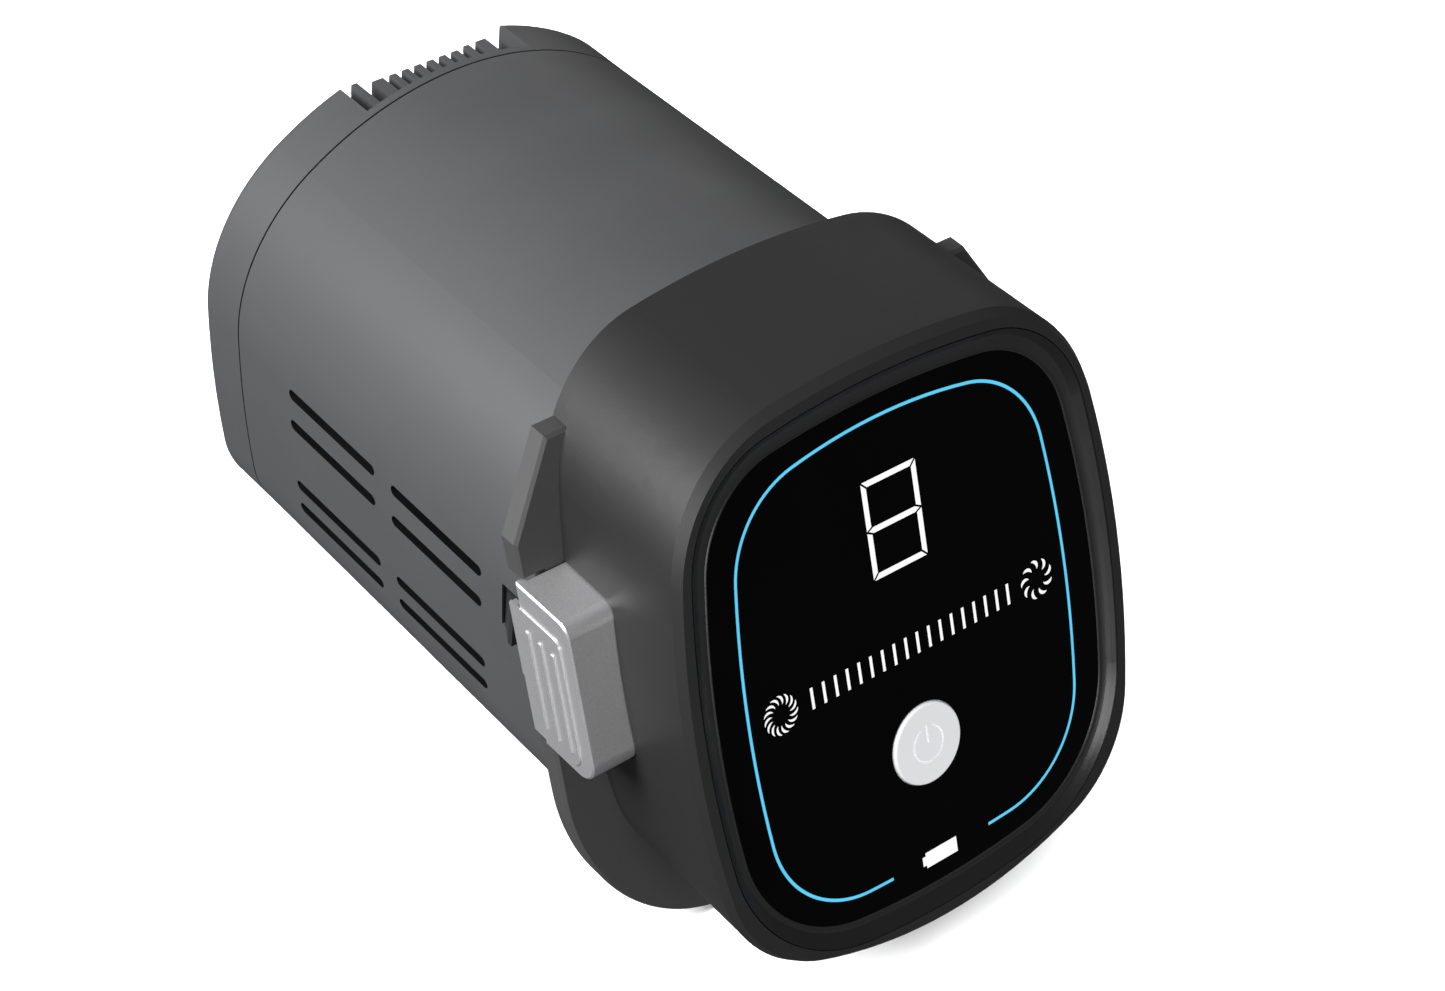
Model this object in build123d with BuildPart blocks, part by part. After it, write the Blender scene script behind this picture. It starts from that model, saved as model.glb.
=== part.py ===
"""Plug-in rechargeable battery pack: a drawn-out casing of lithium cells that slides into its
host along +Y, a leaning collar with a lit display at the front, a blade socket at the back, and
a sprung latch button on each side. Millimetres. +Z is up. The origin is where the pack's
insertion axis (the Y axis) pierces the seating face, the back face of the seat flange."""

import os
from collections import namedtuple
from math import cos, radians, sin, sqrt, tan

from build123d import *

os.makedirs("parts", exist_ok=True)

# ---------------------------------------------------------------- driving dimensions
lean = 20.2                # the display and the seat lean back from square by this angle
casing_half_width = 39.3
casing_top = 37.5          # height of the casing's crown above the insertion axis
casing_bottom = -37.4
casing_wall = 2.4
casing_draft = 1.0         # the casing grows by this much from its back joint to the seat
joint_y = 77.5             # where the rear cap meets the casing
cap_length = 8.9
joint_gap = 0.3            # the shadow line between casing and cap
cap_wall = 2.2
cap_edge_r = 0.9

collar_crown_step = 8.2    # how far the collar's front edge stands above the casing's crown
collar_side_step = -0.2
collar_keel_step = 2.4
collar_wall = 2.4
collar_depth = 28.2        # front band to seat, along Y
collar_taper = 0.5         # the collar is this much smaller at the seat than at its front band
collar_edge = 1.4          # bevel round the collar's front edge
collar_back = 3.0          # thickness of the collar's back wall, along Y

flange_reach = 5.5         # how far the seat flange stands out beyond the casing's sides
flange_drop = 4.5          # and below its keel
flange_thickness = 3.0     # along Y
flange_corner_r = 26.0
flange_land = 7.5          # width of the flange plate inside the casing's inner wall
rebate = 0.6               # the casing's front rim is let into the seat by this much
rebate_gap = 1.0           # and stands this far inside the rebate's wall
flange_edge = 0.4          # bevel round the flange's front edge
fin_top = 32.0             # the flange's two fins end at this height
fin_step = 7.6             # and narrow by this much over their slanted stretch
fin_slant = 11.9

lip_band = 2.4             # width of the collar's flat front band
bezel_depth = 4.2
bezel_rise = 1.13          # the front band stands this far above the window
bezel_ledge = 1.6          # ledge that carries the window's edge
window_border = 2.9        # width of the bezel's sloping face
window_thickness = 1.5
mark_depth = 0.6           # the lit marks are inlaid this deep in the window

light_border = 4.4         # from the window's edge to the middle of the lit line
light_width = 0.46
light_gap = 9.0            # half the gap in the lit line, at the bottom
digit_z = 21.2
digit_half_width = 4.85
digit_half_height = 7.2
digit_stroke = 0.85
digit_gap = 0.28           # the slits between its segments
bar_count = 18
bar_z = 2.2
bar_height = 3.2
bar_width = 0.48
fan_radius = 2.9
fan_eye = 1.5
fan_sweep = 24.0           # angle between a blade's root and its tip
fan_curl = 0.25            # hollow of a blade's inner edge
fan_margin = 2.55          # from a fan icon to the lit line
fan_bar_gap = 2.35         # from a fan icon to the bars
symbol_width = 5.8         # battery symbol
symbol_height = 2.4
button_z = -13.0
button_r = 6.0
button_proud = 0.5
button_travel = 0.5
power_r = 2.8              # the power symbol's ring, and the width of its line
power_line = 0.3
board_thickness = 1.6
light_box_depth = 5.0
led_size = (1.6, 0.8)
led_height = 0.6
switch_size = 6.0
plunger_r = 1.7
pad_r = 2.0
pad_thickness = 0.3
button_play = 0.1          # between the window's back and the button's flange
switch_gap = 0.05          # between pad and plunger when the button is fully pressed

latch_top = 15.4
latch_bottom = -7.4
latch_front = -13.6        # front face of a latch button, along Y at the insertion axis
latch_proud = 0.9          # beyond the flange
latch_travel = 3.0
latch_stop = 1.5
spring_r = 3.0
spring_wire = 0.6
spring_turns = 6

vent_length = 21.4
vent_width = 1.8
vent_rows = (3.4, -2.3, -14.3, -18.9)
vent_first = 28.2          # Y of the middle of the front column
vent_pitch = 25.5

notch_left = -15.7         # the notch in the rear cap, for the blade socket
notch_right = 13.4
socket_top = 34.0
socket_depth = 8.5
rib_pitch = 2.24
rib_width = 0.95
rib_count = 7
guard_width = 1.8          # the two thick ribs that close the comb

cell_r = 9.2
cell_length = 65.2
cell_pitch = 19.2
control_board_size = (46.0, 42.0)
cell_front = 13.0
pack_z = -3.0              # height of the middle row of cells

# ---------------------------------------------------------------- clearances
slip = 0.15                # parts that drop into each other
run = 0.25                 # round a moving part
screw_r = 1.3
screw_head_r = 2.5
screw_head = 1.8
drive_length = 2.6         # the cross cut in a cap screw's head
drive_width = 0.6

slope = tan(radians(lean))
glass_y = -(collar_depth - bezel_rise / cos(radians(lean)))


# ---------------------------------------------------------------- planes and outlines
def across(y):
    """The plane square to the insertion axis at y. Local x is X and local y is Z."""
    return Plane.XZ.offset(-y)


def leaning(y):
    """The plane that leans with the display and crosses the insertion axis at y."""
    lean_rad = radians(lean)
    return Plane(origin=(0, y, 0), x_dir=(1, 0, 0), z_dir=(0, -cos(lean_rad), sin(lean_rad)))


Outline = namedtuple(
    "Outline", "top bottom half_width wide_at crown_r side_r keel_r shoulder_r hip_r"
)


def crossing(centre_a, radius_a, centre_b, radius_b, up):
    """The right-hand crossing of two circles: the upper one for up=1, the lower for up=-1."""
    span = centre_b - centre_a
    along = (radius_a**2 - radius_b**2 + span.length**2) / (2 * span.length)
    foot = centre_a + span.normalized() * along
    rise = Vector(-span.Y, span.X).normalized() * sqrt(radius_a**2 - along**2)
    return max(foot + rise, foot - rise, key=lambda p: p.X + up * p.Y)


def centres(s):
    """Centres of an outline's crown, shoulder, side, hip and keel arcs, on its right half."""
    crown = Vector(0, s.top - s.crown_r)
    side = Vector(s.half_width - s.side_r, s.wide_at)
    keel = Vector(0, s.bottom + s.keel_r)
    shoulder = crossing(crown, s.crown_r - s.shoulder_r, side, s.side_r - s.shoulder_r, 1)
    hip = crossing(keel, s.keel_r - s.hip_r, side, s.side_r - s.hip_r, -1)
    return crown, shoulder, side, hip, keel


def outline(s, grow=0.0):
    """The outline's face, grown outwards by grow. Its arcs run into each other smoothly."""
    crown, shoulder, side, hip, keel = centres(s)
    knots = (
        Vector(0, s.top + grow),
        crown + (shoulder - crown).normalized() * (s.crown_r + grow),
        side + (shoulder - side).normalized() * (s.side_r + grow),
        side + (hip - side).normalized() * (s.side_r + grow),
        keel + (hip - keel).normalized() * (s.keel_r + grow),
        Vector(0, s.bottom - grow),
    )
    with BuildSketch(mode=Mode.PRIVATE) as face:
        with BuildLine():
            for start, end, centre in zip(knots, knots[1:], (crown, shoulder, side, hip, keel)):
                middle = (start - centre).normalized() + (end - centre).normalized()
                ThreePointArc(start, centre + middle.normalized() * (start - centre).length, end)
            mirror(about=Plane.YZ)
        make_face()
    return face.sketch


def corner(s, upper, inset):
    """A point on the diagonal of an outline's upper or lower right corner, inset from it."""
    _, shoulder, _, hip, _ = centres(s)
    if upper:
        return shoulder + Vector(0.78, 0.62) * (s.shoulder_r - inset)
    return hip + Vector(0.71, -0.71) * (s.hip_r - inset)


casing = Outline(
    casing_top, casing_bottom, casing_half_width, wide_at=9.4,
    crown_r=47.0, side_r=198.0, keel_r=126.0, shoulder_r=28.9, hip_r=17.0,
)
collar_face = Outline(
    casing_top + collar_crown_step, casing_bottom - collar_keel_step,
    casing_half_width + collar_side_step, wide_at=2.2,
    crown_r=135.0, side_r=143.0, keel_r=73.0, shoulder_r=21.4, hip_r=20.0,
)
lip = Outline(
    collar_face.top - lip_band, collar_face.bottom + lip_band,
    collar_face.half_width - lip_band, wide_at=2.4,
    crown_r=135.0, side_r=155.0, keel_r=119.0, shoulder_r=17.8, hip_r=23.6,
)
glass = Outline(
    lip.top - 1.25 * window_border, lip.bottom + window_border,
    lip.half_width - window_border, wide_at=0.2,
    crown_r=140.0, side_r=150.0, keel_r=123.0, shoulder_r=15.6, hip_r=20.0,
)
light = Outline(
    glass.top - 0.7 * light_border, glass.bottom + 0.9 * light_border,
    glass.half_width - 1.13 * light_border, wide_at=0.0,
    crown_r=83.0, side_r=166.0, keel_r=270.0, shoulder_r=14.6, hip_r=15.8,
)
display = leaning(glass_y)
window_back = display.offset(-window_thickness)
board_front = window_back.offset(-light_box_depth)
board_back = board_front.offset(-board_thickness)


def finish(piece, name):
    """Label a finished piece and write it to its own STEP file."""
    piece.part.label = name
    export_step(piece.part, f"parts/{name}.step")


# ---------------------------------------------------------------- casing
post_r = screw_r + 1.9
rear_inset = casing_wall + post_r - 1.6
seat_post_r = screw_r + 3.5
seat_inset = seat_post_r + 0.8


def post_places(inset):
    """The four corners of the casing, this far in from its skin."""
    right = [corner(casing, upper, inset) for upper in (True, False)]
    return [Vector(side * place.X, place.Y) for place in right for side in (1, -1)]


rear_posts = post_places(rear_inset)
seat_posts = post_places(seat_inset)
nose_y = -30.0             # the casing is drawn out to here, then trimmed to the seat
nose_growth = casing_draft * (joint_y - nose_y) / joint_y
seat_post_end = 20.0
rear_post_depth = 16.0
rear_screw_depth = 13.0
seat_screw_depth = 15.0
back_wall = flange_thickness + collar_back

hook_front = 8.0
hook_back = 12.4
hook_bottom = -2.0
hook_top = 5.0

with BuildPart() as main_casing:
    with BuildSketch(across(joint_y)):
        add(outline(casing))
    with BuildSketch(across(nose_y)):
        add(outline(casing, nose_growth))
    loft(ruled=True)
    with BuildSketch(across(joint_y)):
        add(outline(casing, -casing_wall))
    with BuildSketch(across(nose_y)):
        add(outline(casing, nose_growth - casing_wall))
    loft(ruled=True, mode=Mode.SUBTRACT)
    with BuildSketch(across(joint_y)):
        with Locations(*rear_posts):
            Circle(post_r)
    extrude(amount=rear_post_depth)
    with BuildSketch(across(seat_post_end)):
        with Locations(*seat_posts):
            Circle(seat_post_r)
    extrude(amount=seat_post_end - nose_y)
    split(bisect_by=leaning(-rebate), keep=Keep.BOTTOM)
    with BuildSketch(across(joint_y)):
        with Locations(*rear_posts):
            Circle(screw_r)
    extrude(amount=rear_screw_depth, mode=Mode.SUBTRACT)
    for post in seat_posts:
        with BuildSketch(across(post.Y * slope + seat_screw_depth - back_wall + 1.0)):
            with Locations(post):
                Circle(screw_r)
        extrude(amount=seat_screw_depth + 5.0, mode=Mode.SUBTRACT)
    with BuildSketch(Plane.YZ):
        with Locations(*[(vent_first + col * vent_pitch, z) for col in (0, 1) for z in vent_rows]):
            SlotOverall(vent_length, vent_width)
        with Locations(((hook_front + hook_back) / 2, (hook_top + hook_bottom) / 2)):
            Rectangle(hook_back - hook_front + 2 * run, hook_top - hook_bottom + 2 * run)
    extrude(amount=2 * casing_half_width, both=True, mode=Mode.SUBTRACT)
finish(main_casing, "main_casing")

# ---------------------------------------------------------------- rear cap
cap_y = joint_y + cap_length
cap_floor_y = cap_y - cap_wall
spigot = 5.0
spigot_wall = 1.6
notch_floor = socket_top - socket_depth
notch_width = notch_right - notch_left
notch_middle = (notch_right + notch_left) / 2
notch_height = casing_top - notch_floor + 1
notch_end_y = joint_y + spigot_wall
board_y = 79.4             # the control board's front face
board_posts = [(x, z) for x in (-19.0, 19.0) for z in (8.0, -20.0)]
small_screw_r = 0.9
small_head_r = 1.8
small_head = 0.8
small_screw_depth = 6.0

with BuildPart() as rear_cap:
    with BuildSketch(across(joint_y + joint_gap)):
        add(outline(casing))
    extrude(amount=joint_gap - cap_length)
    fillet(rear_cap.faces().sort_by(Axis.Y)[-1].edges(), cap_edge_r)
    with BuildSketch(across(joint_y)):
        add(outline(casing, -casing_wall))
    extrude(amount=joint_y - cap_floor_y, mode=Mode.SUBTRACT)
    with BuildSketch(across(joint_y)):
        add(outline(casing, -casing_wall / 2))
        add(outline(casing, -casing_wall - slip), mode=Mode.SUBTRACT)
    extrude(amount=-2 * joint_gap)
    with BuildSketch(across(joint_y - spigot)):
        add(outline(casing, -casing_wall - slip))
        add(outline(casing, -casing_wall - slip - spigot_wall), mode=Mode.SUBTRACT)
        with Locations(*rear_posts):
            Circle(post_r + 2 * slip, mode=Mode.SUBTRACT)
    extrude(amount=-spigot)
    with BuildSketch(across(joint_y)):
        add(outline(casing, -casing_wall + slip))
        add(outline(casing, -casing_wall - slip - spigot_wall), mode=Mode.SUBTRACT)
        with Locations(*rear_posts):
            Circle(post_r)
        with Locations((notch_middle, notch_floor + notch_height / 2)):
            Rectangle(notch_width + 2 * cap_wall, notch_height + 2 * cap_wall)
        add(outline(casing, -casing_wall / 2), mode=Mode.INTERSECT)
    extrude(amount=joint_y - cap_floor_y)
    with BuildSketch(across(notch_end_y)):
        with Locations((notch_middle, notch_floor + notch_height / 2)):
            Rectangle(notch_width, notch_height)
    extrude(amount=-cap_length, mode=Mode.SUBTRACT)
    with BuildSketch(across(board_y + board_thickness)):
        with Locations(*board_posts):
            Circle(small_screw_r + 1.3)
    extrude(amount=board_y + board_thickness - cap_floor_y)
    with BuildSketch(across(board_y)):
        with Locations(*board_posts):
            Circle(small_screw_r)
    extrude(amount=board_y - cap_floor_y, mode=Mode.SUBTRACT)
    with BuildSketch(across(cap_y)):
        with Locations(*rear_posts):
            Circle(screw_r + slip)
    extrude(amount=cap_length, mode=Mode.SUBTRACT)
    with BuildSketch(across(cap_y)):
        with Locations(*rear_posts):
            Circle(screw_head_r + slip)
    extrude(amount=screw_head + 0.6, mode=Mode.SUBTRACT)
finish(rear_cap, "rear_cap")

with BuildPart() as cap_screws:
    with BuildSketch(across(cap_y - 0.6)):
        with Locations(*rear_posts):
            Circle(screw_head_r)
    extrude(amount=screw_head)
    with BuildSketch(across(cap_y - 0.6)):
        with Locations(*rear_posts):
            Circle(screw_r)
    extrude(amount=cap_y - joint_y + rear_screw_depth - 2.0)
    with BuildSketch(across(cap_y - 0.6)):
        with Locations(*rear_posts):
            Rectangle(drive_length, drive_width)
            Rectangle(drive_width, drive_length)
    extrude(amount=0.9, mode=Mode.SUBTRACT)
finish(cap_screws, "cap_screws")

# ---------------------------------------------------------------- blade socket
socket_floor = 1.6
rib_height = socket_depth - socket_floor
rib_first = -rib_pitch * (rib_count - 1) / 2 + 0.35
rib_places = [rib_first + rib_pitch * i for i in range(rib_count)]
guard_step = rib_pitch + (guard_width - rib_width) / 2
guards = [rib_places[0] - guard_step, rib_places[-1] + guard_step]
fin_width = 0.8
leaf_thickness = 0.3

with BuildPart() as blade_socket:
    with BuildSketch(across(notch_end_y)):
        with Locations((notch_middle, notch_floor + socket_floor / 2)):
            Rectangle(notch_width - 2 * slip, socket_floor)
        with Locations(*[(x, socket_top - rib_height / 2) for x in rib_places]):
            Rectangle(rib_width, rib_height)
        with Locations(*[(x, socket_top - rib_height / 2) for x in guards]):
            Rectangle(guard_width, rib_height)
        with Locations((notch_left + 2.5, socket_top + 0.4 - rib_height / 2)):
            Rectangle(fin_width, rib_height + 0.8)
    extrude(amount=notch_end_y - cap_y + 0.2)
    chamfer(blade_socket.faces().filter_by(Axis.Z).sort_by(Axis.Z)[-8:].edges().filter_by(Axis.X), 0.3)
finish(blade_socket, "blade_socket")

leaf_height = 0.65 * rib_height
leaf_z = notch_floor + socket_floor + leaf_height / 2
leaf_step = (rib_width + leaf_thickness) / 2
with BuildPart() as contact_leaves:
    with BuildSketch(across(notch_end_y + 0.5)):
        with Locations(*[(x + leaf_step, leaf_z) for x in rib_places]):
            Rectangle(leaf_thickness, leaf_height)
    extrude(amount=notch_end_y - cap_y + 1.5)
finish(contact_leaves, "contact_leaves")

# ---------------------------------------------------------------- collar
ledge_depth = bezel_depth + 2.0
stack = window_thickness + light_box_depth + board_thickness
standoff_length = (-glass_y - back_wall + 0.2) * cos(radians(lean)) - stack
standoff_r = 2.4
standoffs = [(x, z) for x in (-14.0, 14.0) for z in (-24.0, 30.0)]
collar_inner = collar_face.half_width - collar_taper - collar_wall
stop_x = collar_inner - 1.0
arm_thickness = 3.0
latch_inner_x = stop_x - arm_thickness - latch_travel
latch_corner = 2.6
spring_z = (latch_top + latch_bottom) / 2
spring_y = spring_z * slope - back_wall - spring_r - 1.6
cup_x = 17.0
cup_depth = 6.6
cup_wall = 1.3


def slanted(front, back, bottom, top, corner_r=0.0):
    """The side view (Y, Z) of a block between two leaning planes and two heights."""
    with BuildSketch(mode=Mode.PRIVATE) as side:
        with BuildLine():
            Polyline(
                (front + bottom * slope, bottom),
                (back + bottom * slope, bottom),
                (back + top * slope, top),
                (front + top * slope, top),
                close=True,
            )
        make_face()
        if corner_r:
            fillet(side.vertices().sort_by(lambda v: v.X - v.Y * slope)[:2], corner_r)
    return side.sketch


with BuildPart() as rim_recess:
    with BuildSketch(across(nose_y)):
        add(outline(casing, casing_draft + rebate_gap))
    extrude(amount=2 * nose_y)
    split(bisect_by=leaning(-rebate), keep=Keep.BOTTOM)

with BuildPart() as collar:
    with BuildSketch(leaning(-collar_depth)):
        add(outline(collar_face, -0.55 * collar_edge))
    with BuildSketch(leaning(collar_edge - collar_depth)):
        add(outline(collar_face))
    loft(ruled=True)
    with BuildSketch(leaning(collar_edge - collar_depth)):
        add(outline(collar_face))
    with BuildSketch(leaning(0)):
        add(outline(collar_face, -collar_taper))
    loft(ruled=True)
    with BuildSketch(leaning(-collar_depth)):
        add(outline(lip))
    extrude(amount=bezel_depth, dir=(0, 1, 0), mode=Mode.SUBTRACT)
    with BuildSketch(leaning(-collar_depth)):
        add(outline(lip, -bezel_ledge))
    extrude(amount=ledge_depth, dir=(0, 1, 0), mode=Mode.SUBTRACT)
    with BuildSketch(leaning(ledge_depth - collar_depth)):
        add(outline(collar_face, -collar_taper - collar_wall))
    extrude(amount=collar_depth - ledge_depth - back_wall, dir=(0, 1, 0), mode=Mode.SUBTRACT)
    with BuildSketch(board_back):
        with Locations(*standoffs):
            Circle(standoff_r)
    extrude(amount=-standoff_length)
    with BuildSketch(board_back):
        with Locations(*standoffs):
            Circle(small_screw_r)
    extrude(amount=-small_screw_depth, mode=Mode.SUBTRACT)
    for side in (1, -1):
        with BuildSketch(Plane.YZ.offset(side * cup_x)):
            add(slanted(spring_y - spring_z * slope - spring_r - cup_wall - 0.6, -back_wall + 0.2,
                        spring_z - spring_r - cup_wall - 0.6, spring_z + spring_r + cup_wall + 0.6))
        extrude(amount=side * cup_depth)
        with BuildSketch(Plane.YZ.offset(side * (cup_x + 1.2))):
            with Locations((spring_y, spring_z)):
                Circle(spring_r + spring_wire / 2 + run)
        extrude(amount=side * cup_depth, mode=Mode.SUBTRACT)
        with BuildSketch(Plane.YZ.offset(side * (latch_inner_x - 2 * run))):
            add(slanted(latch_front - run, 1.0, latch_bottom - run, latch_top + run, latch_corner + run))
        extrude(amount=side * casing_half_width, mode=Mode.SUBTRACT)
    with BuildSketch(Plane.YZ):
        add(slanted(-flange_thickness, 5.0, -2 * casing_top, fin_top + slip))
    extrude(amount=2 * casing_half_width, both=True, mode=Mode.SUBTRACT)
    with BuildSketch(Plane.XZ):
        with Locations((0, -6.0)):
            RectangleRounded(22.0, 10.0, 2.0)
    extrude(amount=back_wall + 8.0, both=True, mode=Mode.SUBTRACT)
    for post in seat_posts:
        floor_y = post.Y * slope - back_wall + screw_head_r * slope
        with BuildSketch(across(floor_y)):
            with Locations(post):
                Circle(screw_head_r + slip)
        extrude(amount=screw_head + 2.0, mode=Mode.SUBTRACT)
        with BuildSketch(across(floor_y)):
            with Locations(post):
                Circle(screw_r + slip)
        extrude(amount=-2 * back_wall, mode=Mode.SUBTRACT)
    add(rim_recess.part, mode=Mode.SUBTRACT)
finish(collar, "collar")

# ---------------------------------------------------------------- seat flange and its screws
flange_half = casing_half_width + flange_reach
flange_bottom = casing_bottom - flange_drop
fin_half = flange_half - fin_step
latch_x = flange_half + latch_proud
plate_thickness = 1.5      # the outer plate of a latch button, which laps over the flange's rim
notch_x = latch_x - plate_thickness - latch_travel - run

with BuildPart() as seat_flange:
    with BuildSketch(across(nose_y)) as plate:
        with BuildLine():
            Polyline(
                (-fin_half, fin_top),
                (fin_half, fin_top),
                (flange_half, fin_top - fin_slant),
                (flange_half, flange_bottom),
                (-flange_half, flange_bottom),
                (-flange_half, fin_top - fin_slant),
                close=True,
            )
        make_face()
        fillet(plate.vertices().group_by(Axis.Y)[0], flange_corner_r)
        add(outline(casing, -casing_wall - flange_land), mode=Mode.SUBTRACT)
        with Locations(*seat_posts):
            Circle(screw_r + slip, mode=Mode.SUBTRACT)
    extrude(amount=2 * nose_y)
    split(bisect_by=leaning(0), keep=Keep.TOP)
    split(bisect_by=leaning(-flange_thickness), keep=Keep.BOTTOM)
    front_face = seat_flange.faces().filter_by(leaning(0)).sort_by(Axis.Y)[0]
    chamfer(front_face.outer_wire().edges(), flange_edge)
    with BuildSketch(Plane.YZ):
        add(slanted(-2 * flange_thickness, flange_thickness, hook_bottom - run, hook_top + run))
    extrude(amount=stop_x + run, both=True, mode=Mode.SUBTRACT)
    for side in (1, -1):
        with BuildSketch(Plane.YZ.offset(side * notch_x)):
            add(slanted(-2 * flange_thickness, flange_thickness, latch_bottom - run, latch_top + run))
        extrude(amount=side * flange_reach * 2, mode=Mode.SUBTRACT)
    add(rim_recess.part, mode=Mode.SUBTRACT)
finish(seat_flange, "seat_flange")

with BuildPart() as seat_screws:
    for post in seat_posts:
        floor_y = post.Y * slope - back_wall + screw_head_r * slope
        with BuildSketch(across(floor_y)):
            with Locations(post):
                Circle(screw_head_r)
        extrude(amount=screw_head)
        with BuildSketch(across(floor_y)):
            with Locations(post):
                Circle(screw_r)
        extrude(amount=-seat_screw_depth)
finish(seat_screws, "seat_screws")

# ---------------------------------------------------------------- bezel
dish_steps = 4             # facets of the bezel's hollow slope


def between(a, b, share):
    """The outline part of the way from one outline to another."""
    return Outline(*[start + (end - start) * share for start, end in zip(a, b)])


def dish(share):
    """How much of the bezel's depth is left after this share of its width: steep first, then flat."""
    return (1 - share) ** 1.7


with BuildPart() as bezel:
    with BuildSketch(leaning(-collar_depth)):
        add(outline(lip, -slip))
    extrude(amount=bezel_depth, dir=(0, 1, 0))
    for step in range(dish_steps):
        for share in (step / dish_steps, (step + 1) / dish_steps):
            with BuildSketch(leaning(glass_y - (collar_depth + glass_y) * dish(share))):
                add(outline(between(lip, glass, share), -2 * slip * (1 - share)))
        loft(ruled=True, mode=Mode.SUBTRACT)
    with BuildSketch(display):
        add(outline(glass))
    extrude(amount=-window_thickness, mode=Mode.SUBTRACT)
    with BuildSketch(display):
        add(outline(glass, -bezel_ledge))
    extrude(amount=-bezel_depth, mode=Mode.SUBTRACT)
finish(bezel, "bezel")

# ---------------------------------------------------------------- the display's lit marks
fan_x = light.half_width - fan_margin - fan_radius
bar_reach = fan_x - fan_radius - fan_bar_gap - bar_width / 2
battery_z = light.bottom


def ring_marks():
    """The lit line round the window, open at the bottom."""
    with BuildSketch(mode=Mode.PRIVATE) as marks:
        add(outline(light, light_width / 2))
        add(outline(light, -light_width / 2), mode=Mode.SUBTRACT)
        with Locations((0, light.bottom)):
            Rectangle(2 * light_gap, 4 * light_width, mode=Mode.SUBTRACT)
    return marks.sketch


def bar_marks():
    """The row of level bars."""
    with BuildSketch(mode=Mode.PRIVATE) as marks:
        with Locations((0, bar_z)):
            with GridLocations(2 * bar_reach / (bar_count - 1), 0, bar_count, 1):
                Rectangle(bar_width, bar_height)
    return marks.sketch


def digit_marks():
    """The digit, all lit: a figure of eight slit at its mitres into seven segments."""
    wide = digit_half_width - digit_stroke / 2
    high = digit_half_height - digit_stroke / 2
    window = high - digit_stroke
    with BuildSketch(mode=Mode.PRIVATE) as marks:
        with Locations((0, digit_z)):
            Rectangle(2 * digit_half_width, 2 * digit_half_height)
        with Locations(*[(0, digit_z + level * high / 2) for level in (1, -1)]):
            Rectangle(2 * wide - digit_stroke, window, mode=Mode.SUBTRACT)
        for side in (1, -1):
            for level in (1, -1):
                with Locations((side * wide, digit_z + level * high)):
                    Rectangle(3 * digit_stroke, digit_gap, rotation=side * level * 45, mode=Mode.SUBTRACT)
                with Locations((side * wide, digit_z + level * digit_stroke / 4)):
                    Rectangle(1.8 * digit_stroke, digit_gap, rotation=-side * level * 27, mode=Mode.SUBTRACT)
    return marks.sketch


def fan_marks(x, blade_count, blade_width):
    """Crescent blades round an eye, with their outer tips swept anticlockwise."""
    root = Vector(fan_eye, 0)
    tip = Vector(fan_radius, 0).rotate(Axis.Z, fan_sweep)
    middle = (root + tip) * 0.5
    bulge = Vector(tip.Y - root.Y, root.X - tip.X).normalized()
    with BuildSketch(mode=Mode.PRIVATE) as blade:
        with BuildLine():
            ThreePointArc(root, middle + bulge * (fan_curl + blade_width), tip)
            ThreePointArc(tip, middle + bulge * fan_curl, root)
        make_face()
    with BuildSketch(mode=Mode.PRIVATE) as marks:
        with Locations((x, bar_z)):
            with PolarLocations(0, blade_count):
                add(blade.sketch)
    return marks.sketch


def battery_marks():
    """The battery symbol: a block with a nub at its left end."""
    with BuildSketch(mode=Mode.PRIVATE) as marks:
        with Locations((0, battery_z)):
            Rectangle(symbol_width, symbol_height)
        with Locations((-symbol_width / 2 - 0.3, battery_z)):
            Rectangle(0.6, 0.6 * symbol_height)
    return marks.sketch


mark_sets = {
    "ring_light": ring_marks(),
    "level_bars": bar_marks(),
    "digit_segments": digit_marks(),
    "fan_icon_low": fan_marks(-fan_x, 15, 0.36),
    "fan_icon_high": fan_marks(fan_x, 9, 0.5),
    "battery_symbol": battery_marks(),
}

with BuildPart() as display_window:
    with BuildSketch(display):
        add(outline(glass, -0.5 * slip))
        with Locations((0, button_z)):
            Circle(button_r + slip, mode=Mode.SUBTRACT)
    extrude(amount=-window_thickness)
    for marks in mark_sets.values():
        with BuildSketch(display):
            add(marks)
        extrude(amount=-mark_depth, mode=Mode.SUBTRACT)
finish(display_window, "display_window")

for name, marks in mark_sets.items():
    with BuildPart() as inlay:
        with BuildSketch(display):
            add(marks)
        extrude(amount=-mark_depth)
    finish(inlay, name)

# ---------------------------------------------------------------- behind the window
button_flange_r = button_r + 1.2
button_flange = 1.0
board_inset = bezel_ledge + 3 * slip
channel = 1.1              # half the width of the light channel behind the lit line

with BuildPart() as light_box:
    with BuildSketch(window_back):
        add(outline(glass, -board_inset))
        add(outline(light, channel), mode=Mode.SUBTRACT)
        add(outline(light, -channel))
        with Locations((0, light.bottom)):
            Rectangle(1.6 * light_gap, 2.5 * channel)
        with Locations((0, bar_z)):
            Rectangle(2 * bar_reach + 3.0, bar_height + 2.0, mode=Mode.SUBTRACT)
        with Locations((0, digit_z)):
            Rectangle(2 * digit_half_width + 2.0, 2 * digit_half_height + 2.0, mode=Mode.SUBTRACT)
        with Locations((-fan_x, bar_z), (fan_x, bar_z)):
            Circle(fan_radius + 0.5, mode=Mode.SUBTRACT)
        with Locations((0, battery_z)):
            Rectangle(symbol_width + 2.4, symbol_height + 1.2, mode=Mode.SUBTRACT)
        with Locations((0, button_z)):
            Circle(button_flange_r + 2 * slip, mode=Mode.SUBTRACT)
        with Locations(*standoffs):
            Circle(small_head_r + 2 * slip, mode=Mode.SUBTRACT)
    extrude(amount=-light_box_depth)
finish(light_box, "light_box")

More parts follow.
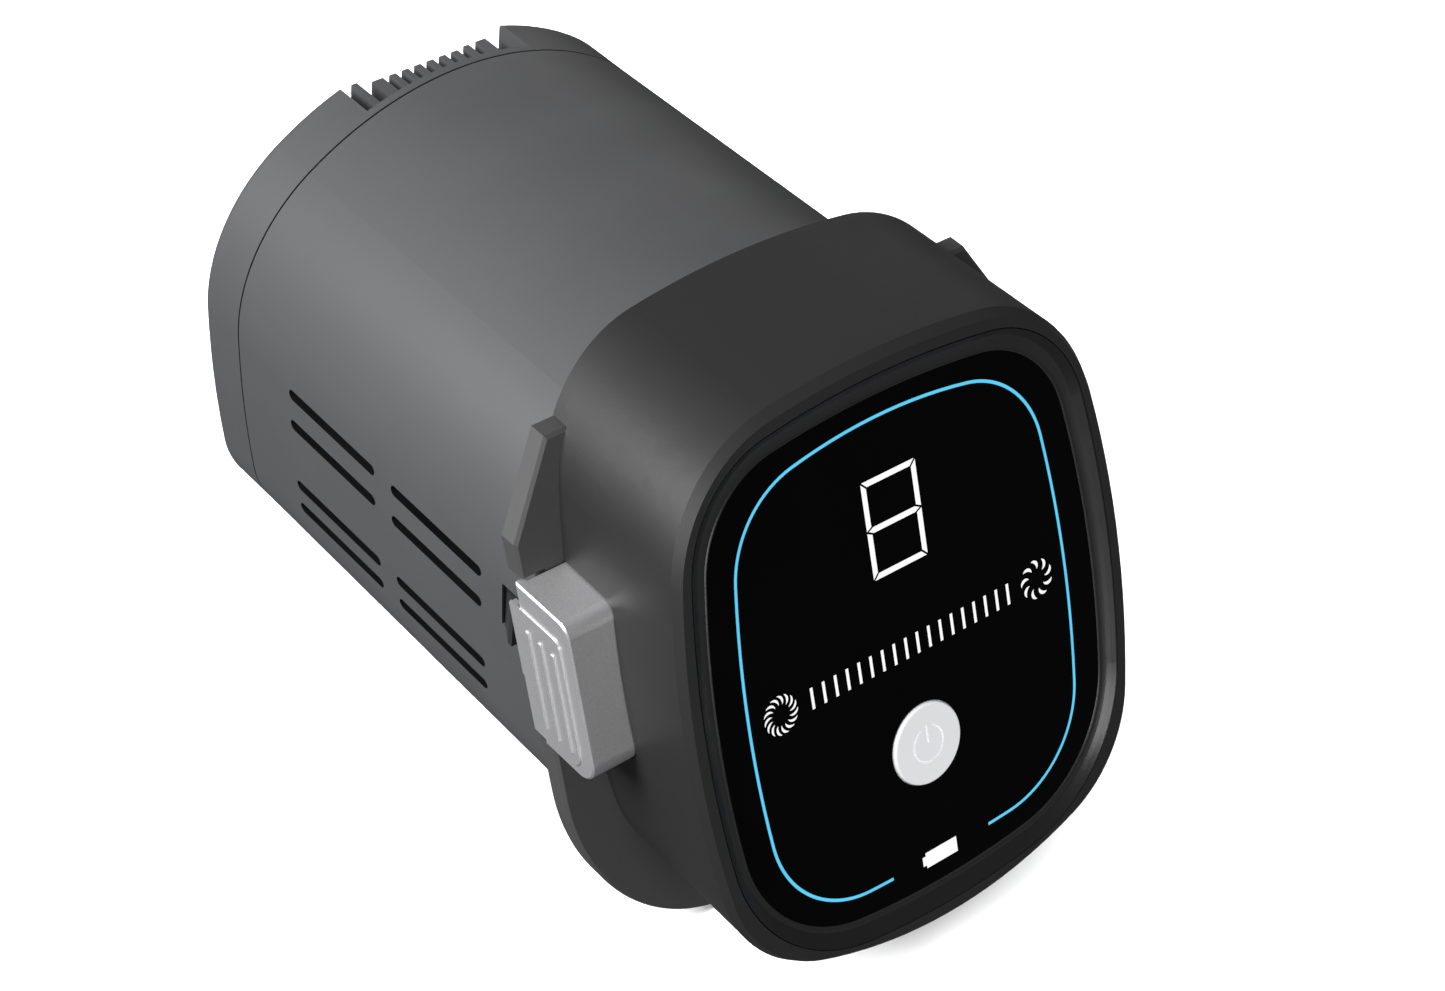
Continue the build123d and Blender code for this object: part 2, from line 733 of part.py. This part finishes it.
with BuildPart() as display_board:
    with BuildSketch(board_front):
        add(outline(glass, -board_inset))
        with Locations(*standoffs):
            Circle(small_screw_r, mode=Mode.SUBTRACT)
    extrude(amount=-board_thickness)
finish(display_board, "display_board")

with BuildPart() as display_screws:
    with BuildSketch(board_front.offset(small_head)):
        with Locations(*standoffs):
            Circle(small_head_r)
    extrude(amount=-small_head)
    with BuildSketch(board_front):
        with Locations(*standoffs):
            Circle(small_screw_r)
    extrude(amount=-board_thickness - small_screw_depth)
finish(display_screws, "display_screws")

ring_wire = outline(light).faces()[0].outer_wire()
led_places = [ring_wire @ (i / 20) for i in range(20)]
led_places = [(p.X, p.Y) for p in led_places if abs(p.X) > light_gap + 1]
led_places += [(x, bar_z) for x in (-fan_x, -15, -9, -3, 3, 9, 15, fan_x)]
led_places += [(x, digit_z + z) for x in (-2.5, 2.5) for z in (-4.0, 0.0, 4.0)]
led_places += [(0, battery_z)]

with BuildPart() as display_leds:
    with BuildSketch(board_front):
        with Locations(*led_places):
            Rectangle(*led_size)
    extrude(amount=led_height)
finish(display_leds, "display_leds")

pad_reach = button_play + button_flange + pad_thickness
switch_height = light_box_depth - pad_reach - button_travel - switch_gap
with BuildPart() as tact_switch:
    with BuildSketch(board_front):
        with Locations((0, button_z)):
            RectangleRounded(switch_size, switch_size, 0.5)
    extrude(amount=switch_height - 0.6)
    with BuildSketch(board_front):
        with Locations((0, button_z)):
            Circle(plunger_r)
    extrude(amount=switch_height)
finish(tact_switch, "tact_switch")

# ---------------------------------------------------------------- power button
with BuildPart() as power_button:
    with BuildSketch(display.offset(button_proud)):
        with Locations((0, button_z)):
            Circle(button_r)
    extrude(amount=-button_proud - window_thickness - button_play)
    fillet(power_button.faces().sort_by(Axis.Y)[0].edges(), 0.3)
    with BuildSketch(window_back.offset(-button_play)):
        with Locations((0, button_z)):
            Circle(button_flange_r)
    extrude(amount=-button_flange)
    with BuildSketch(display.offset(button_proud)):
        with Locations((0, button_z)):
            Circle(power_r)
            Circle(power_r - power_line, mode=Mode.SUBTRACT)
            with Locations((0, power_r)):
                Rectangle(0.8 * power_r, power_r, mode=Mode.SUBTRACT)
            with Locations((0, 0.55 * power_r)):
                Rectangle(power_line, power_r)
    extrude(amount=-0.25, mode=Mode.SUBTRACT)
finish(power_button, "power_button")

with BuildPart() as button_pad:
    with BuildSketch(window_back.offset(-button_play - button_flange)):
        with Locations((0, button_z)):
            Circle(pad_r)
    extrude(amount=-pad_thickness)
finish(button_pad, "button_pad")

# ---------------------------------------------------------------- latches
plate_back = -2.5          # the plate's back edge, along Y at the insertion axis
latch_edge = 0.25
panel_back = -0.8          # the raised panel on the plate, and the grip ribs on the panel
panel_bottom = latch_bottom + 1.2
panel_top = latch_top - 3.4
panel_margin = 2.6
panel_rise = 0.25
strip_back = 0.5           # a thin strip on the plate's back edge reaches past the seat
strip_sink = 0.3
strip_bottom = 0.7
strip_top = 10.8
grip_leans = (-4.2, -6.9, -9.6)
grip_width = 0.6
arm_x = stop_x - arm_thickness
hook_x = casing_half_width + 2.4
spring_free = arm_x - (cup_x + 1.2 + latch_travel + run)

for side, hand in ((1, "right"), (-1, "left")):
    with BuildPart() as latch_button:
        with BuildSketch(Plane.YZ.offset(side * stop_x)):
            add(slanted(latch_front, -flange_thickness - run, latch_bottom, latch_top, latch_corner))
        extrude(amount=side * (latch_x - stop_x))
        with BuildSketch(Plane.YZ.offset(side * latch_x)):
            add(slanted(latch_front, plate_back, latch_bottom, latch_top, latch_corner))
            add(slanted(-2 * flange_thickness, panel_back, panel_bottom, strip_top))
        extrude(amount=-side * plate_thickness)
        with BuildSketch(Plane.YZ.offset(side * (latch_x - strip_sink))):
            add(slanted(panel_back - 1.0, strip_back, strip_bottom, strip_top))
        extrude(amount=side * (strip_sink - plate_thickness))
        outer_face = latch_button.faces().filter_by(Axis.X).sort_by(lambda f: side * f.center().X)[-1]
        chamfer(outer_face.outer_wire().edges(), latch_edge)
        with BuildSketch(Plane.YZ.offset(side * latch_x)):
            add(slanted(latch_front + panel_margin, panel_back, panel_bottom, panel_top, latch_corner - 1))
        extrude(amount=side * panel_rise)
        with BuildSketch(Plane.YZ.offset(side * (latch_x + panel_rise))):
            for grip in grip_leans:
                add(slanted(grip, grip + grip_width, panel_bottom + 2.0, panel_top - 2.6))
        extrude(amount=side * panel_rise)
    finish(latch_button, f"latch_button_{hand}")

    with BuildPart() as latch_hook:
        with BuildSketch(Plane.YZ.offset(side * (stop_x - latch_stop))):
            add(slanted(latch_front - 1.6, -back_wall, latch_bottom - 1.6, latch_top + 1.6))
        extrude(amount=side * latch_stop)
        with BuildSketch(Plane.YZ.offset(side * arm_x)):
            with BuildLine():
                Polyline(
                    (spring_y - spring_r, hook_bottom),
                    (hook_back, hook_bottom),
                    (hook_back, hook_top),
                    (spring_y - spring_r, hook_top),
                    close=True,
                )
            make_face()
        extrude(amount=side * arm_thickness)
        with BuildSketch(Plane.XY.offset(hook_bottom)):
            with BuildLine():
                Polyline(
                    (side * (stop_x - 0.5), hook_front),
                    (side * hook_x, hook_front),
                    (side * hook_x, hook_front + 0.8),
                    (side * (casing_half_width + 0.2), hook_back),
                    (side * (stop_x - 0.5), hook_back),
                    close=True,
                )
            make_face()
        extrude(amount=hook_top - hook_bottom)
    finish(latch_hook, f"latch_hook_{hand}")

    with BuildPart() as latch_spring:
        with BuildLine():
            coil = Helix(
                pitch=(spring_free - spring_wire) / spring_turns,
                height=spring_free - spring_wire,
                radius=spring_r,
                center=(side * (arm_x - spring_wire / 2), spring_y, spring_z),
                direction=(-side, 0, 0),
            )
        with BuildSketch(Plane(origin=coil @ 0, z_dir=coil % 0)):
            Circle(spring_wire / 2)
        sweep()
    finish(latch_spring, f"latch_spring_{hand}")

# ---------------------------------------------------------------- cells and electronics
row_rise = cell_pitch * sqrt(3) / 2
cell_places = [(x * cell_pitch, pack_z) for x in (-1, 0, 1)]
cell_places += [(x * cell_pitch, pack_z + row * row_rise) for row in (1, -1) for x in (-0.5, 0.5)]
cell_back = cell_front + cell_length
nub = 0.8
holder_depth = 6.0
rear_holder_y = joint_y - spigot - holder_depth - 1.0
strip_thickness = 0.2

for number, place in enumerate(cell_places, start=1):
    with BuildPart() as cell:
        with BuildSketch(across(cell_front)):
            with Locations(place):
                Circle(cell_r)
        extrude(amount=nub - cell_length)
        with BuildSketch(across(cell_front)):
            with Locations(place):
                Circle(0.35 * cell_r)
        extrude(amount=-cell_length)
    finish(cell, f"cell_{number}")

for name, front in (("cell_holder_front", cell_front), ("cell_holder_rear", rear_holder_y)):
    with BuildPart() as holder:
        with BuildSketch(across(front)):
            Rectangle(2 * casing_half_width, 5.0)
            Rectangle(8.0, 2 * casing_top)
            with Locations(*cell_places):
                Circle(cell_r + 1.2)
            with Locations(*cell_places):
                Circle(cell_r + slip, mode=Mode.SUBTRACT)
            add(outline(casing, -casing_wall - slip), mode=Mode.INTERSECT)
        extrude(amount=-holder_depth)
    finish(holder, name)

for name, front in (("link_plates_front", cell_front - strip_thickness), ("link_plates_rear", cell_back)):
    with BuildPart() as plates:
        with BuildSketch(across(front)):
            for row in (0, 1, -1):
                links = 3 if row == 0 else 2
                with Locations((0, pack_z + row * row_rise)):
                    Rectangle((links - 1) * cell_pitch + 7.0, 7.0)
        extrude(amount=-strip_thickness)
    finish(plates, name)

with BuildPart() as control_board:
    with BuildSketch(across(board_y)):
        with Locations((0, -5.0)):
            RectangleRounded(*control_board_size, 2.0)
        with Locations(*board_posts):
            Circle(small_screw_r, mode=Mode.SUBTRACT)
    extrude(amount=-board_thickness)
finish(control_board, "control_board")

with BuildPart() as board_screws:
    with BuildSketch(across(board_y)):
        with Locations(*board_posts):
            Circle(small_head_r)
    extrude(amount=small_head)
    with BuildSketch(across(board_y)):
        with Locations(*board_posts):
            Circle(small_screw_r)
    extrude(amount=board_y - cap_floor_y + 0.4)
finish(board_screws, "board_screws")

with BuildPart() as board_chips:
    with BuildSketch(across(board_y + board_thickness)):
        with Locations(*[(x, 3.0) for x in (-10.0, 0.0, 10.0)]):
            Rectangle(6.0, 9.0)
        with Locations((-6.0, -13.0)):
            Rectangle(9.0, 9.0)
        with Locations(*[(7.0 + 3.5 * i, -13.0) for i in (0, 1, 2)]):
            Rectangle(1.8, 3.0)
    extrude(amount=-2.0)
finish(board_chips, "board_chips")
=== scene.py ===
"""The looks of a slide-in rechargeable pack with a lit display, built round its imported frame."""

import math

import bpy
import numpy as np
from mathutils import Matrix, Vector
from mathutils.geometry import convex_hull_2d


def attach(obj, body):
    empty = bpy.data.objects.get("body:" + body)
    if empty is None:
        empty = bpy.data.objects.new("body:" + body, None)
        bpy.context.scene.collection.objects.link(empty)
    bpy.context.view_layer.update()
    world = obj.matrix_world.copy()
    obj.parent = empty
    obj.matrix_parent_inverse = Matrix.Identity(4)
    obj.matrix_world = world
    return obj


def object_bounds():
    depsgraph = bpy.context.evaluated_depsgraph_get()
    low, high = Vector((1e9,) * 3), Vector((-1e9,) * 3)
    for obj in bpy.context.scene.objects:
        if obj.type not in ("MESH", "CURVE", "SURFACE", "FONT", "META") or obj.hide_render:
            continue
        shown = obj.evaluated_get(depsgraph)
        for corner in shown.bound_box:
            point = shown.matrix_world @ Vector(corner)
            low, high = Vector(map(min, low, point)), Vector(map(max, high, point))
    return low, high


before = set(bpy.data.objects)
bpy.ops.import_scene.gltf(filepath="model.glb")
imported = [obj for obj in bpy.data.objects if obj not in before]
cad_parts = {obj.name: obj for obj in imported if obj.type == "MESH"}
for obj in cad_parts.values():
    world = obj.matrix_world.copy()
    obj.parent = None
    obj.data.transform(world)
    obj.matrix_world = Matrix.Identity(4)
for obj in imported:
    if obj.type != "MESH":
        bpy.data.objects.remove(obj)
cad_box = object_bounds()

# ---- The place it is seen in -------------------------------------------------------------
# A white table top, a pale room and soft studio lights: one broad light high on the pack's left,
# and weaker ones from the top, the front and the back. A separate light whitens the table only.
low, high = (Vector(corner) for corner in cad_box)
middle = (low + high) / 2
scene = bpy.context.scene
scene.view_settings.view_transform = "Standard"

eye = Vector((-0.25088, -0.25117, 0.31002))
to_right = Vector((0.76690, -0.63724, 0.07607))
to_top = Vector((0.37013, 0.53601, 0.75875))
camera_data = bpy.data.cameras.new("camera")
camera_data.lens = 83.96
camera_data.sensor_width = 36.0
camera_data.clip_start = 0.01
camera = bpy.data.objects.new("camera", camera_data)
back = to_right.cross(to_top)
turn = Matrix((to_right, to_top, back)).transposed().to_4x4()
camera.matrix_world = Matrix.Translation(eye) @ turn
scene.collection.objects.link(camera)
scene.camera = camera


def soft_light(name, place, size, power):
    """A rectangular soft light at a place, facing the middle of the pack."""
    data = bpy.data.lights.new(name, "AREA")
    data.shape = "RECTANGLE"
    data.size, data.size_y = size
    data.energy = power
    light = bpy.data.objects.new(name, data)
    light.location = place
    light.rotation_euler = (middle - Vector(place)).to_track_quat("-Z", "Y").to_euler()
    scene.collection.objects.link(light)
    return light


soft_light("shoulder_light", (-0.64, 0.14, 0.47), (0.32, 0.45), 11.5)
soft_light("top_light", (-0.15, 0.25, 0.80), (0.6, 0.6), 0.6)
soft_light("front_fill", (-0.25, -0.85, 0.20), (0.4, 0.4), 3.3)
soft_light("rear_fill", (0.60, 0.70, 0.25), (0.5, 0.5), 0.3)
table_light = soft_light("table_light", (0.0, 0.0, 1.5), (12.0, 12.0), 900.0)

world = bpy.data.worlds.new("room")
world.use_nodes = True
world.node_tree.nodes["Background"].inputs["Color"].default_value = (0.97, 0.98, 1.0, 1.0)
world.node_tree.nodes["Background"].inputs["Strength"].default_value = 0.14
scene.world = world

reach = 6.0
floor_mesh = bpy.data.meshes.new("table_top")
floor_z = low.z - 0.0002
sides = ((-reach, -reach), (reach, -reach), (reach, reach), (-reach, reach))
floor_mesh.from_pydata([(x, y, floor_z) for x, y in sides], [], [(0, 1, 2, 3)])
floor = bpy.data.objects.new("table_top", floor_mesh)
floor.visible_diffuse = False
floor.visible_glossy = False
table = bpy.data.collections.new("table")
table.objects.link(floor)
scene.collection.children.link(table)
table_light.light_linking.receiver_collection = table


# ---- Moulded shells ----------------------------------------------------------------------
# The casing, cap, comb, collar and flange are injection moulded in a dark grey polymer. The
# tool was spark-eroded, which leaves a fine even grain, and handling polishes the grain a little.
def socket_range(tree, value, low_out, high_out):
    """Maps a noise value from its usual span, 0.3 to 0.7, to the span wanted."""
    node = tree.nodes.new("ShaderNodeMapRange")
    node.inputs["From Min"].default_value = 0.3
    node.inputs["From Max"].default_value = 0.7
    node.inputs["To Min"].default_value = low_out
    node.inputs["To Max"].default_value = high_out
    tree.links.new(value, node.inputs["Value"])
    return node.outputs["Result"]


def noise(tree, size, detail=2.0, stretch=(1.0, 1.0, 1.0)):
    """Noise in the object's own coordinates, with features about this size in metres."""
    place = tree.nodes.new("ShaderNodeTexCoord")
    scale = tree.nodes.new("ShaderNodeMapping")
    scale.inputs["Scale"].default_value = stretch
    tree.links.new(place.outputs["Object"], scale.inputs["Vector"])
    node = tree.nodes.new("ShaderNodeTexNoise")
    node.inputs["Scale"].default_value = 1.0 / size
    node.inputs["Detail"].default_value = detail
    tree.links.new(scale.outputs["Vector"], node.inputs["Vector"])
    return node.outputs["Fac"]


def tint(tree, value, dark, light):
    """Blends from a dark to a light colour."""
    node = tree.nodes.new("ShaderNodeMix")
    node.data_type = "RGBA"
    tree.links.new(value, node.inputs["Factor"])
    node.inputs["A"].default_value = (*dark, 1.0)
    node.inputs["B"].default_value = (*light, 1.0)
    return node.outputs["Result"]


def bump(tree, value, height, strength=1.0, under=None):
    """A bump of this height in metres, on top of another bump if one is given."""
    node = tree.nodes.new("ShaderNodeBump")
    node.inputs["Strength"].default_value = strength
    node.inputs["Distance"].default_value = height
    tree.links.new(value, node.inputs["Height"])
    if under is not None:
        tree.links.new(under, node.inputs["Normal"])
    return node.outputs["Normal"]


def finish_of(name):
    """A new material, its node tree and its shader."""
    material = bpy.data.materials.new(name)
    material.use_nodes = True
    tree = material.node_tree
    return material, tree, tree.nodes["Principled BSDF"]


def arithmetic(tree, operation, *values):
    """One step of arithmetic on sockets and numbers."""
    node = tree.nodes.new("ShaderNodeMath")
    node.operation = operation
    for slot, value in enumerate(values):
        if isinstance(value, (int, float)):
            node.inputs[slot].default_value = value
        else:
            tree.links.new(value, node.inputs[slot])
    return node.outputs["Value"]


def slot_walls(tree, columns, rows, length, width):
    """One on the walls of the vent slots and nought elsewhere, in the object's own coordinates.

    Seen from the side, a point is on a wall when it is no further from a slot's middle line than
    half the slot's width, with a small allowance.
    """
    place = tree.nodes.new("ShaderNodeTexCoord")
    split = tree.nodes.new("ShaderNodeSeparateXYZ")
    tree.links.new(place.outputs["Object"], split.inputs["Vector"])

    def nearest(value, centres):
        """The distance from a coordinate to the nearest of the centres."""
        best = None
        for centre in centres:
            away = arithmetic(tree, "ABSOLUTE", arithmetic(tree, "SUBTRACT", value, centre))
            best = away if best is None else arithmetic(tree, "MINIMUM", best, away)
        return best

    beyond = arithmetic(tree, "SUBTRACT", nearest(split.outputs["Y"], columns), (length - width) / 2)
    beyond = arithmetic(tree, "MAXIMUM", beyond, 0.0)
    beside = nearest(split.outputs["Z"], rows)
    squares = [arithmetic(tree, "POWER", side, 2.0) for side in (beyond, beside)]
    distance = arithmetic(tree, "SQRT", arithmetic(tree, "ADD", *squares))
    skin_allowance = 0.00004
    return arithmetic(tree, "LESS_THAN", distance, width / 2 + skin_allowance)


def moulded(name, colour, rough, grain=0.00022, grain_height=0.00003, mottle=0.12):
    """Spark-grained plastic: fine grain, faint mottling, and patches rubbed smoother."""
    material, tree, shader = finish_of(name)
    broad = noise(tree, 0.018, 3.0)
    fine = noise(tree, grain, 2.0)
    dark = [c * (1.0 - mottle) for c in colour]
    light = [c * (1.0 + mottle) for c in colour]
    patches = tint(tree, socket_range(tree, broad, 0.0, 1.0), dark, light)
    tree.links.new(patches, shader.inputs["Base Color"])
    tree.links.new(socket_range(tree, broad, rough + 0.04, rough - 0.05), shader.inputs["Roughness"])
    ripple = bump(tree, noise(tree, 0.03, 1.0), 0.0004, 0.10)
    tree.links.new(bump(tree, fine, grain_height, 0.35, ripple), shader.inputs["Normal"])
    return material


def dress(material, *nodes):
    """Gives CAD nodes a finish."""
    for node in nodes:
        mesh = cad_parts[node].data
        mesh.materials.clear()
        mesh.materials.append(material)


casing_grey = (0.074, 0.075, 0.077)
casing_finish = moulded("casing_plastic", casing_grey, 0.44, mottle=0.05)
tree = casing_finish.node_tree
shader = tree.nodes["Principled BSDF"]
skin = shader.inputs["Base Color"].links[0].from_socket
# The slots' walls are painted almost black, painted shade for the little light they get. The skin round
# them stays grey.
vent_columns = (0.0282, 0.0537)
vent_rows = (0.0034, -0.0023, -0.0143, -0.0189)
walls = slot_walls(tree, vent_columns, vent_rows, length=0.0214, width=0.0018)
inner = tint(tree, walls, (0.0, 0.0, 0.0), (0.003, 0.003, 0.003))
tree.links.new(skin, inner.node.inputs["A"])
tree.links.new(inner, shader.inputs["Base Color"])
dress(casing_finish, "main_casing")
dress(moulded("cap_plastic", casing_grey, 0.44, mottle=0.05), "rear_cap")
dress(moulded("comb_plastic", (0.075, 0.076, 0.078), 0.42), "blade_socket")
dress(moulded("collar_plastic", (0.0155, 0.0155, 0.0158), 0.47, mottle=0.06), "collar")
dress(moulded("flange_plastic", (0.056, 0.056, 0.057), 0.42, mottle=0.06), "seat_flange")
dress(moulded("bezel_plastic", (0.010, 0.010, 0.0103), 0.30, grain_height=0.00001, mottle=0.05),
      "bezel")
dress(moulded("hook_plastic", (0.022, 0.022, 0.023), 0.4), "latch_hook_left", "latch_hook_right")
dress(moulded("inner_plastic", (0.55, 0.55, 0.52), 0.5),
      "light_box", "cell_holder_front", "cell_holder_rear")
dress(moulded("pad_rubber", (0.05, 0.05, 0.05), 0.7), "button_pad")

# ---- The bezel's hollow slope ------------------------------------------------------------
# The moulded ring between the collar's front band and the glass. It starts in a fine seam
# behind the band, dishes down to the glass, and ends in a narrow polished bead that catches light.
lean = math.radians(20.2)
facing = Vector((0.0, -math.cos(lean), math.sin(lean)))
up_slope = Vector((0.0, math.sin(lean), math.cos(lean)))


def on_display(node):
    """A node's vertices as rows of (across, up the display, out of the display), in metres."""
    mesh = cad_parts[node].data
    flat = np.empty(3 * len(mesh.vertices), dtype=np.float32)
    mesh.vertices.foreach_get("co", flat)
    flat = flat.reshape(-1, 3).astype(float)
    return np.column_stack((flat[:, 0], flat @ np.array(up_slope), flat @ np.array(facing)))


def rim(points, angles):
    """The distance from the middle to the outline round the points, in each direction.

    Each edge of the outline lies on a straight line at some distance along its own normal. The ray
    at an angle meets that line at distance / (normal . ray), and leaves by the nearest such line.
    """
    corners = points[convex_hull_2d([tuple(p) for p in points[:, :2]])][:, :2]
    edges = np.roll(corners, -1, axis=0) - corners
    normals = np.column_stack((edges[:, 1], -edges[:, 0]))
    offsets = np.einsum("ij,ij->i", normals, corners)
    normals *= np.sign(offsets)[:, None]
    toward = normals @ np.vstack((np.cos(angles), np.sin(angles)))
    level = 1e-12
    far = np.abs(offsets)[:, None] / np.maximum(toward, level)
    return np.where(toward > level, far, np.inf).min(axis=0)


def ring_surface(name, angles, radii, heights):
    """A ring of quads. Its row i lies at radii[i] from the middle and heights[i] off the display.

    A point at angle a in a row is at (r cos a, r sin a) across and up the display, moved out by
    the height. The display's own up direction leans back by the lean angle.
    """
    spots = []
    for radius, height in zip(radii, heights):
        across = radius * np.cos(angles)
        up = radius * np.sin(angles)
        flat = across[:, None] * np.array((1.0, 0.0, 0.0)) + up[:, None] * np.array(up_slope)
        spots.append(flat + height * np.array(facing))
    steps = len(angles)
    quads = []
    for row in range(len(radii) - 1):
        for step in range(steps):
            after = (step + 1) % steps
            quads.append((row * steps + step, (row + 1) * steps + step,
                          (row + 1) * steps + after, row * steps + after))
    mesh = bpy.data.meshes.new(name)
    mesh.from_pydata([tuple(p) for p in np.concatenate(spots)], [], quads)
    for face in mesh.polygons:
        face.use_smooth = True
    piece = bpy.data.objects.new(name, mesh)
    scene.collection.objects.link(piece)
    return piece


bezel_points = on_display("bezel")
glass_points = on_display("display_window")
front_height = bezel_points[:, 2].max()
glass_height = glass_points[:, 2].max()
angles = np.linspace(-math.pi, math.pi, 720, endpoint=False)
same_level = 0.00002
outer = rim(bezel_points[bezel_points[:, 2] > front_height - same_level], angles)
inner = rim(glass_points[glass_points[:, 2] > glass_height - same_level], angles)
shares = np.linspace(0.0, 1.0, 41)
dish_power = 1.7
lift = 0.00003
seam_depth, seam_at, seam_spread = 0.00022, 0.10, 0.030
bead_height, bead_at, bead_spread = 0.00016, 0.93, 0.035
dished = (front_height - glass_height - same_level) * (1.0 - shares) ** dish_power
seam = -seam_depth * np.exp(-((shares - seam_at) / seam_spread) ** 2)
bead = bead_height * np.exp(-((shares - bead_at) / bead_spread) ** 2)
slope_ring = ring_surface(
    "bezel_slope", angles,
    [outer + (inner - outer) * share for share in shares],
    glass_height + lift + dished + seam + bead,
)
# Painted light: the slope is painted twice as light as the bezel's band, for the light its dish
# catches.
slope_lit_copy_finish = moulded("bezel_slope_lit_copy", (0.020, 0.020, 0.0205), 0.30,
                       grain_height=0.000008, mottle=0.05)
slope_ring.data.materials.append(slope_lit_copy_finish)
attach(slope_ring, "pack")

# ---- The window --------------------------------------------------------------------------
# One flat sheet of black acrylic, polished on its face.
window_finish, tree, shader = finish_of("window_black")
shader.inputs["Specular IOR Level"].default_value = 0.08
haze = noise(tree, 0.02, 4.0)
black = tint(tree, socket_range(tree, haze, 0.0, 1.0),
             (0.0007, 0.0007, 0.0006), (0.0013, 0.0013, 0.0011))
tree.links.new(black, shader.inputs["Base Color"])
tree.links.new(socket_range(tree, haze, 0.05, 0.10), shader.inputs["Roughness"])
dress(window_finish, "display_window")


# ---- The lit marks -----------------------------------------------------------------------
# Light guides and diffusers inlaid flush in the window, lit from the board behind.
def lit(name, colour, glow, base):
    """A diffuser that glows, a little unevenly, as it does between its lamps."""
    material, tree, shader = finish_of(name)
    patch = noise(tree, 0.006, 1.0)
    dark = [c * 0.93 for c in colour]
    uneven = tint(tree, socket_range(tree, patch, 0.0, 1.0), dark, colour)
    tree.links.new(uneven, shader.inputs["Emission Color"])
    shader.inputs["Emission Strength"].default_value = glow
    tree.links.new(tint(tree, patch, base, base), shader.inputs["Base Color"])
    tree.links.new(socket_range(tree, patch, 0.25, 0.35), shader.inputs["Roughness"])
    return material


dress(lit("ring_cyan", (0.105, 0.640, 0.955), 1.0, (0.01, 0.02, 0.03)), "ring_light")
dress(lit("mark_white", (1.0, 1.0, 1.0), 1.0, (0.05, 0.05, 0.05)),
      "level_bars", "digit_segments", "fan_icon_low", "fan_icon_high", "battery_symbol", "display_leds")

# ---- The power button --------------------------------------------------------------------
# A satin white cap with a bright edge and a faint even glow, painted light that brightens it; the
# symbol is sunk into it.
button_finish = moulded("button_white", (0.86, 0.86, 0.87), 0.38,
                        grain=0.0005, grain_height=0.000004, mottle=0.02)
shader = button_finish.node_tree.nodes["Principled BSDF"]
# Painted light: the cap glows faintly so that it looks brighter.
shader.inputs["Emission Color"].default_value = (0.95, 0.97, 1.0, 1.0)
shader.inputs["Emission Strength"].default_value = 0.22
dress(button_finish, "power_button")


# ---- The latches -------------------------------------------------------------------------
# Cast buttons in silver paint, whose metal flakes make a fine sparkle.
def silver(name, colour, rough):
    """Silver paint: metal flakes turned a little each way, over a fine cast grain."""
    material, tree, shader = finish_of(name)
    shader.inputs["Metallic"].default_value = 0.75
    flake = noise(tree, 0.00018, 2.0)
    dark = [c * 0.90 for c in colour]
    light = [min(1.0, c * 1.08) for c in colour]
    sparkle = tint(tree, socket_range(tree, flake, 0.0, 1.0), dark, light)
    tree.links.new(sparkle, shader.inputs["Base Color"])
    tree.links.new(socket_range(tree, flake, rough - 0.03, rough + 0.05), shader.inputs["Roughness"])
    tree.links.new(bump(tree, flake, 0.00002, 0.25), shader.inputs["Normal"])
    return material


dress(silver("latch_silver", (0.66, 0.66, 0.67), 0.33), "latch_button_left", "latch_button_right")


# ---- Inside ------------------------------------------------------------------------------
# Cells in shrink sleeve, boards, plates, screws and springs. Little of this shows.
def metal(name, colour, rough):
    """Drawn or plated metal with fine lines along it."""
    material, tree, shader = finish_of(name)
    shader.inputs["Metallic"].default_value = 1.0
    lines = noise(tree, 0.0006, 3.0, stretch=(1.0, 0.08, 1.0))
    dark = [c * 0.85 for c in colour]
    tree.links.new(tint(tree, lines, dark, colour), shader.inputs["Base Color"])
    tree.links.new(socket_range(tree, lines, rough - 0.05, rough + 0.1), shader.inputs["Roughness"])
    tree.links.new(bump(tree, lines, 0.00002, 0.2), shader.inputs["Normal"])
    return material


steel = metal("plated_steel", (0.55, 0.55, 0.56), 0.30)
dress(steel, "cap_screws", "seat_screws", "display_screws", "board_screws",
      "latch_spring_left", "latch_spring_right")
dress(metal("nickel", (0.62, 0.58, 0.48), 0.28),
      "link_plates_front", "link_plates_rear", "contact_leaves")
dress(moulded("sleeve_blue", (0.03, 0.16, 0.36), 0.28, grain_height=0.00001),
      *[f"cell_{number}" for number in range(1, 8)])
dress(moulded("board_green", (0.012, 0.12, 0.05), 0.3, grain_height=0.00001),
      "display_board", "control_board")
dress(moulded("chip_black", (0.02, 0.02, 0.02), 0.4), "board_chips", "tact_switch")

# ---- The table top's finish --------------------------------------------------------------
# Painted board, almost white, faintly uneven.
paint, tree, shader = finish_of("table_paint")
cloud = noise(tree, 0.3, 2.0)
tree.links.new(tint(tree, cloud, (0.88, 0.88, 0.885), (0.92, 0.92, 0.92)),
               shader.inputs["Base Color"])
tree.links.new(socket_range(tree, cloud, 0.75, 0.85), shader.inputs["Roughness"])
floor_mesh.materials.append(paint)
